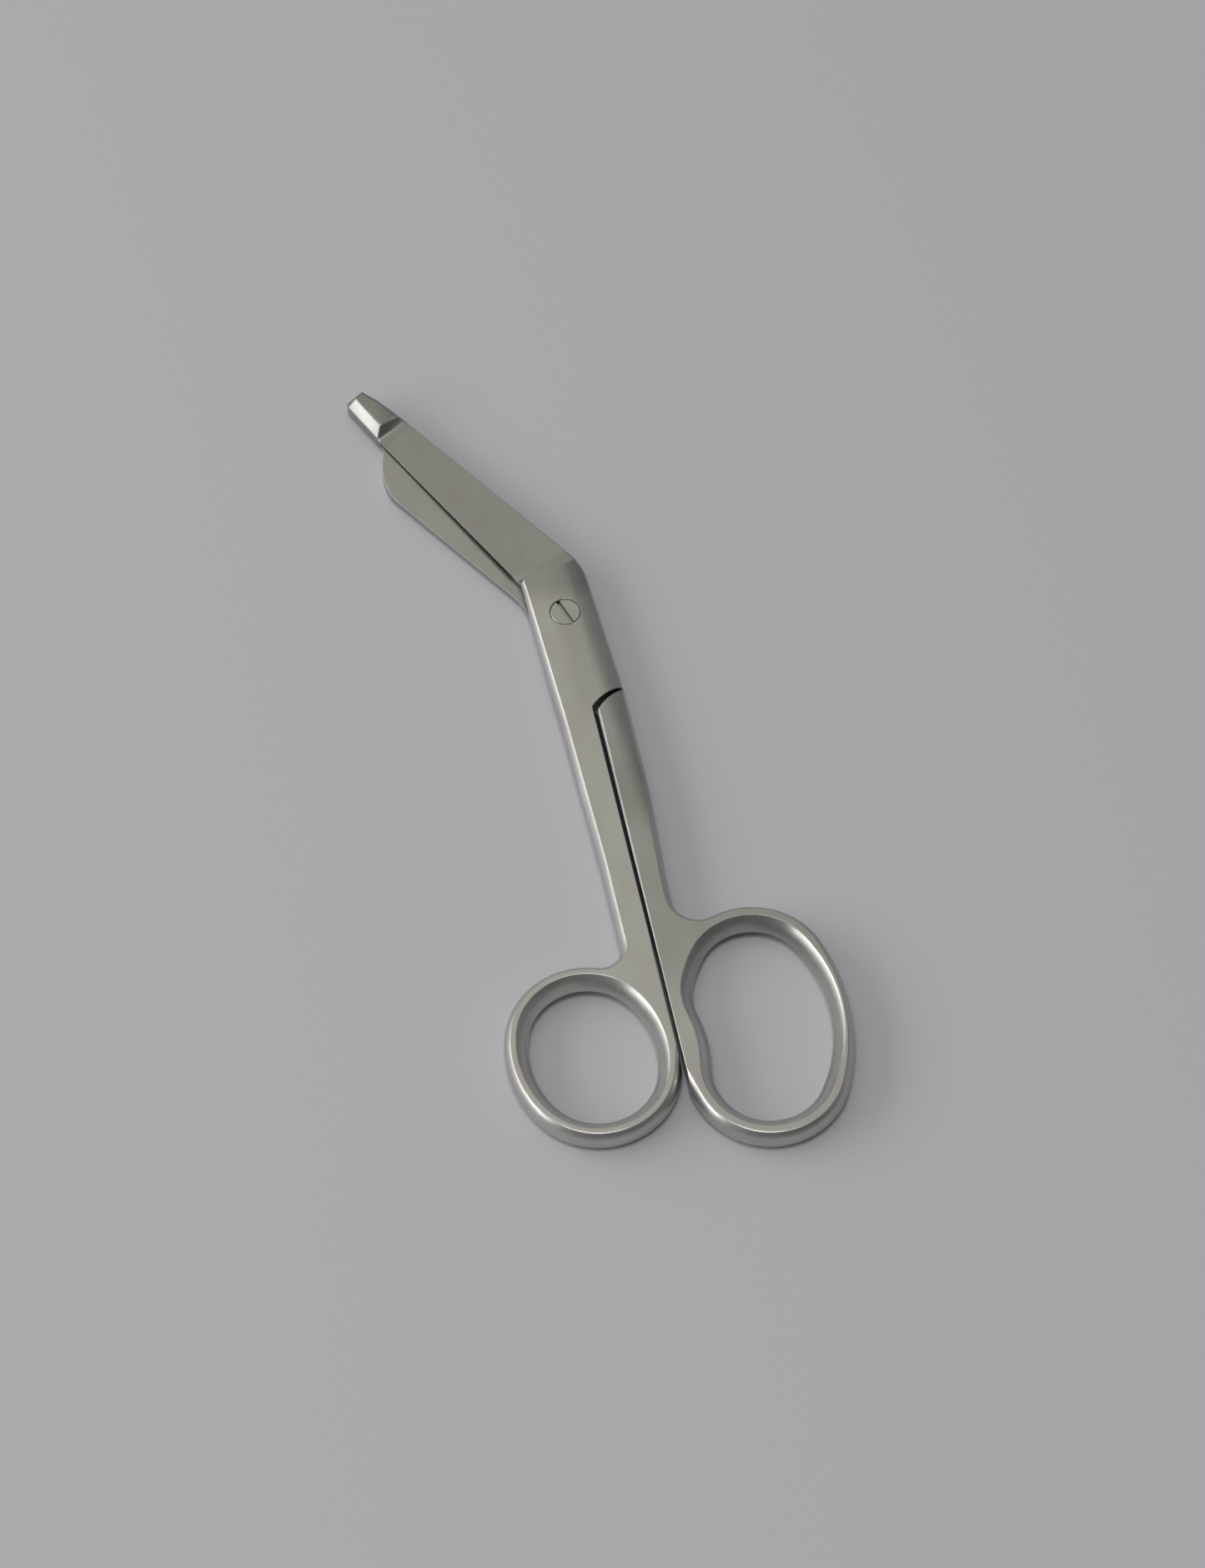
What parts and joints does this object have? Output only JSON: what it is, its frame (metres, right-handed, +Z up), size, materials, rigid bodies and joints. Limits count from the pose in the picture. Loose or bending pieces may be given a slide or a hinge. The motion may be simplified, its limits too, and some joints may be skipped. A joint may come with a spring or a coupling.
{
  "type": "bandage scissors",
  "caption": "Angled bandage scissors: two forged halves crossing at a slotted pivot screw, a blunt probe tip for sliding under dressings, and finger rings of unequal size.",
  "frame": {"origin": "on the pivot axis, at the flat underside that the scissors rest on", "axes": "+Z up along the pivot axis, out of the face with the screw head. +Y along the shanks, from the finger rings towards the joint; the blades lean from it towards -X. +X towards the large ring's side"},
  "size_m": [0.0506, 0.1379, 0.004],
  "materials": {
    "satin_steel": "satin stainless steel, brushed along its length",
    "screw_steel": "satin stainless steel, ground flush with the joint"
  },
  "bodies": {
    "lower_half": {"blunt_blade_half": "satin_steel", "pivot_screw": "screw_steel"},
    "upper_half": {"probe_blade_half": "satin_steel"}
  },
  "joints": [
    {"name": "pivot", "type": "hinge", "parent": "lower_half", "child": "upper_half", "pos_m": [0, 0, 0.002], "axis": [0, 0, -1], "range_deg": [0, 45]}
  ]
}
